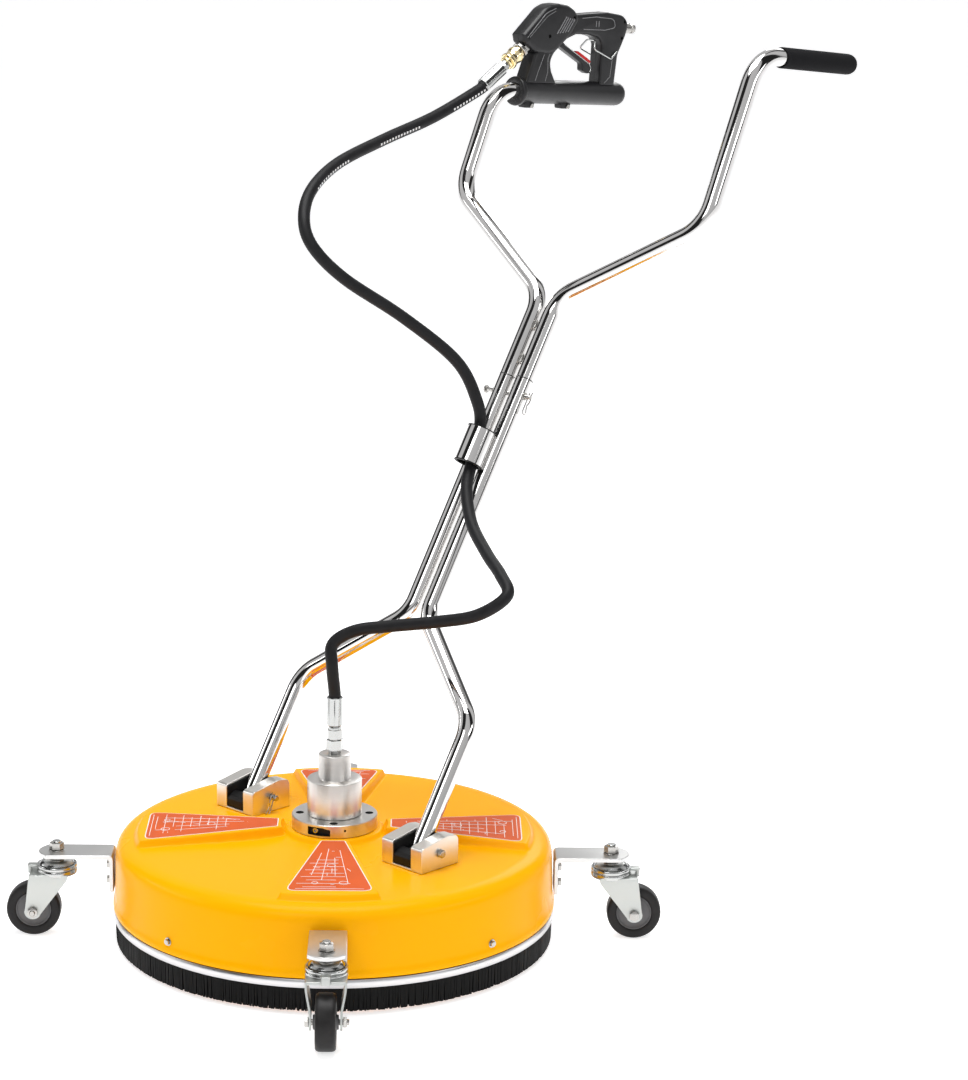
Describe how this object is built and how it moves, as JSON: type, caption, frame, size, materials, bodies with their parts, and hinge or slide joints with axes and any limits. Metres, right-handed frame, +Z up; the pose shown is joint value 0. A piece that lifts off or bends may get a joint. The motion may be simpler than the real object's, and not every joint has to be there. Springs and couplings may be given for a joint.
{
  "type": "pressure washer surface cleaner",
  "caption": "Round pressure washer surface cleaner on swivel casters, with a spray rotor, brush skirt, leaning tube handle, trigger gun and hose.",
  "frame": {"origin": "on the floor under the middle of the machine, in line with the deck from side to side", "axes": "+Z up; +Y forward, away from the user; +X to the user's right, along the handle pivots"},
  "size_m": [0.6552, 1.1752, 1.2401],
  "materials": {
    "deck": "moulded shell, glossy yellow",
    "stainless": "bright stainless",
    "tube_steel": "polished tube",
    "aluminium": "satin, machined",
    "brass": "turned",
    "rubber": "matt black",
    "tyre": "grey-black rubber",
    "plastic": "black moulding",
    "red_plastic": "red moulding",
    "bristle": "black nylon bristle"
  },
  "bodies": {
    "deck": {"deck_shell": "deck", "brush_band": "stainless", "brush_skirt": "bristle", "hub_flange": "aluminium", "hub_housing": "aluminium", "bearing_upper": "stainless", "bearing_lower": "stainless", "shaft_seal": "rubber", "clevis_block_left": "aluminium", "clevis_block_right": "aluminium", "clevis_pad_left": "rubber", "clevis_pad_right": "rubber", "pivot_pin_left": "stainless", "pivot_pin_right": "stainless", "hose_end_hub": "stainless", "caster_bracket_fl": "stainless", "caster_stem_fl": "stainless", "caster_bracket_fr": "stainless", "caster_stem_fr": "stainless", "caster_bracket_rr": "stainless", "caster_stem_rr": "stainless", "caster_bracket_rl": "stainless", "caster_stem_rl": "stainless"},
    "rotor": {"rotor_shaft": "stainless", "rotor_head": "brass", "spray_arm_a": "stainless", "spray_arm_b": "stainless", "nozzle_a": "stainless", "nozzle_b": "stainless"},
    "swivel_fl": {"caster_fork_fl": "tube_steel", "caster_axle_fl": "stainless"},
    "wheel_fl": {"caster_wheel_fl": "tyre"},
    "swivel_fr": {"caster_fork_fr": "tube_steel", "caster_axle_fr": "stainless"},
    "wheel_fr": {"caster_wheel_fr": "tyre"},
    "swivel_rr": {"caster_fork_rr": "tube_steel", "caster_axle_rr": "stainless"},
    "wheel_rr": {"caster_wheel_rr": "tyre"},
    "swivel_rl": {"caster_fork_rl": "tube_steel", "caster_axle_rl": "stainless"},
    "wheel_rl": {"caster_wheel_rl": "tyre"},
    "handle": {"lower_tube_left": "tube_steel", "lower_tube_right": "tube_steel", "upper_tube_left": "tube_steel", "upper_tube_right": "tube_steel", "joint_pin": "stainless", "hose_guide": "tube_steel", "foam_grip": "rubber", "gun_sleeve": "plastic", "gun_shell_left": "plastic", "gun_shell_right": "plastic", "gun_valve": "stainless", "coupler_body": "brass", "hose_end_gun": "stainless", "hose": "rubber"},
    "trigger": {"trigger": "plastic"},
    "latch": {"trigger_latch": "red_plastic"},
    "bail": {"trigger_bail": "stainless"},
    "collar": {"coupler_sleeve": "brass"}
  },
  "joints": [
    {"name": "rotor_spin", "type": "hinge", "parent": "deck", "child": "rotor", "pos_m": [0, 0.26, 0.1], "axis": [0, 0, 1], "continuous": true},
    {"name": "swivel_spin_fl", "type": "hinge", "parent": "deck", "child": "swivel_fl", "pos_m": [-0.27096, 0.53096, 0.0882], "axis": [0, 0, 1], "continuous": true},
    {"name": "wheel_spin_fl", "type": "hinge", "parent": "swivel_fl", "child": "wheel_fl", "pos_m": [-0.29401, 0.55401, 0.0375], "axis": [-0.7071, -0.7071, 0], "continuous": true},
    {"name": "swivel_spin_fr", "type": "hinge", "parent": "deck", "child": "swivel_fr", "pos_m": [0.27096, 0.53096, 0.0882], "axis": [0, 0, 1], "continuous": true},
    {"name": "wheel_spin_fr", "type": "hinge", "parent": "swivel_fr", "child": "wheel_fr", "pos_m": [0.29401, 0.55401, 0.0375], "axis": [-0.7071, 0.7071, 0], "continuous": true},
    {"name": "swivel_spin_rr", "type": "hinge", "parent": "deck", "child": "swivel_rr", "pos_m": [0.27096, -0.01096, 0.0882], "axis": [0, 0, 1], "continuous": true},
    {"name": "wheel_spin_rr", "type": "hinge", "parent": "swivel_rr", "child": "wheel_rr", "pos_m": [0.29401, -0.03401, 0.0375], "axis": [0.7071, 0.7071, 0], "continuous": true},
    {"name": "swivel_spin_rl", "type": "hinge", "parent": "deck", "child": "swivel_rl", "pos_m": [-0.27096, -0.01096, 0.0882], "axis": [0, 0, 1], "continuous": true},
    {"name": "wheel_spin_rl", "type": "hinge", "parent": "swivel_rl", "child": "wheel_rl", "pos_m": [-0.29401, -0.03401, 0.0375], "axis": [0.7071, -0.7071, 0], "continuous": true},
    {"name": "handle_tilt", "type": "hinge", "parent": "deck", "child": "handle", "pos_m": [0, 0.26, 0.1694], "axis": [-1, 0, 0], "range_deg": [0, 33], "deforming": ["hose"]},
    {"name": "trigger_squeeze", "type": "hinge", "parent": "handle", "child": "trigger", "pos_m": [0.2335, -0.40798, 1.18132], "axis": [-1, 0, 0], "range_deg": [0, 15], "stiffness_Nm_per_rad": 0.5, "springref_deg": -14.32},
    {"name": "latch_flip", "type": "hinge", "parent": "trigger", "child": "latch", "pos_m": [0.2335, -0.45762, 1.15934], "axis": [1, 0, 0], "range_deg": [-25, 0]},
    {"name": "bail_swing", "type": "hinge", "parent": "handle", "child": "bail", "pos_m": [0.2335, -0.5364, 1.15754], "axis": [1, 0, 0], "range_deg": [-12, 0]},
    {"name": "collar_slide", "type": "slide", "parent": "handle", "child": "collar", "axis": [0, -0.8571, 0.5152], "range_m": [0, 0.005], "stiffness_N_per_m": 400, "springref_m": -0.004}
  ]
}
